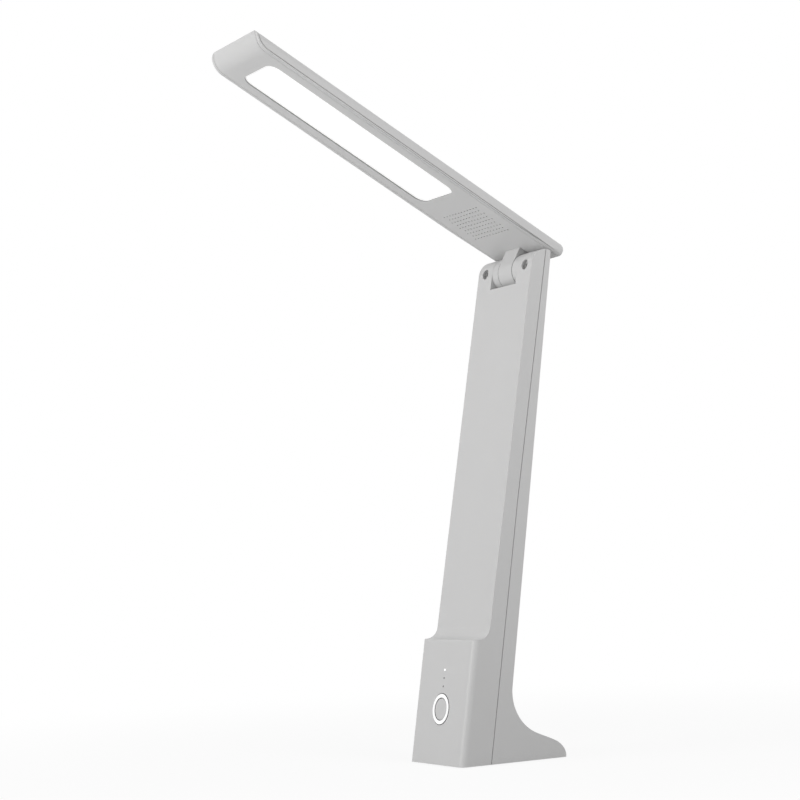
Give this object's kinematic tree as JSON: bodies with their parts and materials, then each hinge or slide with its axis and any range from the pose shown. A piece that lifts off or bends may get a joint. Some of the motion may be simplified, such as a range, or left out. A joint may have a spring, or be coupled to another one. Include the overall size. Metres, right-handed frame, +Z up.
{
  "type": "folding desk lamp",
  "caption": "Cordless folding desk lamp: leaning column with a ring-lit push button and a flared foot, and a flat light head on a friction knuckle hinge.",
  "frame": {"origin": "centre of the rubber pad's underside, on the surface that the lamp stands on", "axes": "+Z up; -Y towards the side that the button and the lit underside face; +X to the right as seen from the front"},
  "size_m": [0.0612, 0.2036, 0.424],
  "materials": {
    "shell": "satin",
    "opal": "satin",
    "light_pipe": "polished",
    "steel": "plated",
    "pad": "matt",
    "board": "lacquered",
    "white_sheet": "matt",
    "lamp": "clear",
    "cell": "sleeved",
    "switch": "satin",
    "wire": "satin"
  },
  "bodies": {
    "root": {"front_housing": "shell", "rear_housing": "shell", "base_plate": "shell", "base_pad": "pad", "base_screws": "steel", "ballast_plate": "steel", "battery_cell": "cell", "control_board": "board", "board_screws": "steel", "switch_body": "switch", "board_lamps": "lamp", "light_ring": "light_pipe", "indicator_pipes": "light_pipe", "charge_board": "board", "charge_socket": "steel", "hinge_pin": "steel", "hinge_nut": "steel", "hinge_screws": "steel", "stem_leads": "wire"},
    "head": {"top_cover": "shell", "lower_cover": "shell", "diffuser": "opal", "reflector_sheet": "white_sheet", "led_board": "board", "led_chips": "lamp", "driver_board": "board", "knuckle_arm": "shell", "knuckle_screws": "steel", "friction_washers": "steel", "head_leads": "wire"},
    "button": {"button_cap": "shell", "switch_plunger": "switch"}
  },
  "joints": [
    {"name": "head_tilt", "type": "hinge", "parent": "root", "child": "head", "pos_m": [0, 0.03912, 0.2946], "axis": [1, 0, 0], "range_deg": [-41.3, 108.7]},
    {"name": "button_press", "type": "slide", "parent": "root", "child": "button", "axis": [0, 0.9845, -0.1754], "range_m": [0, 0.0005], "stiffness_N_per_m": 400, "springref_m": -0.001}
  ]
}
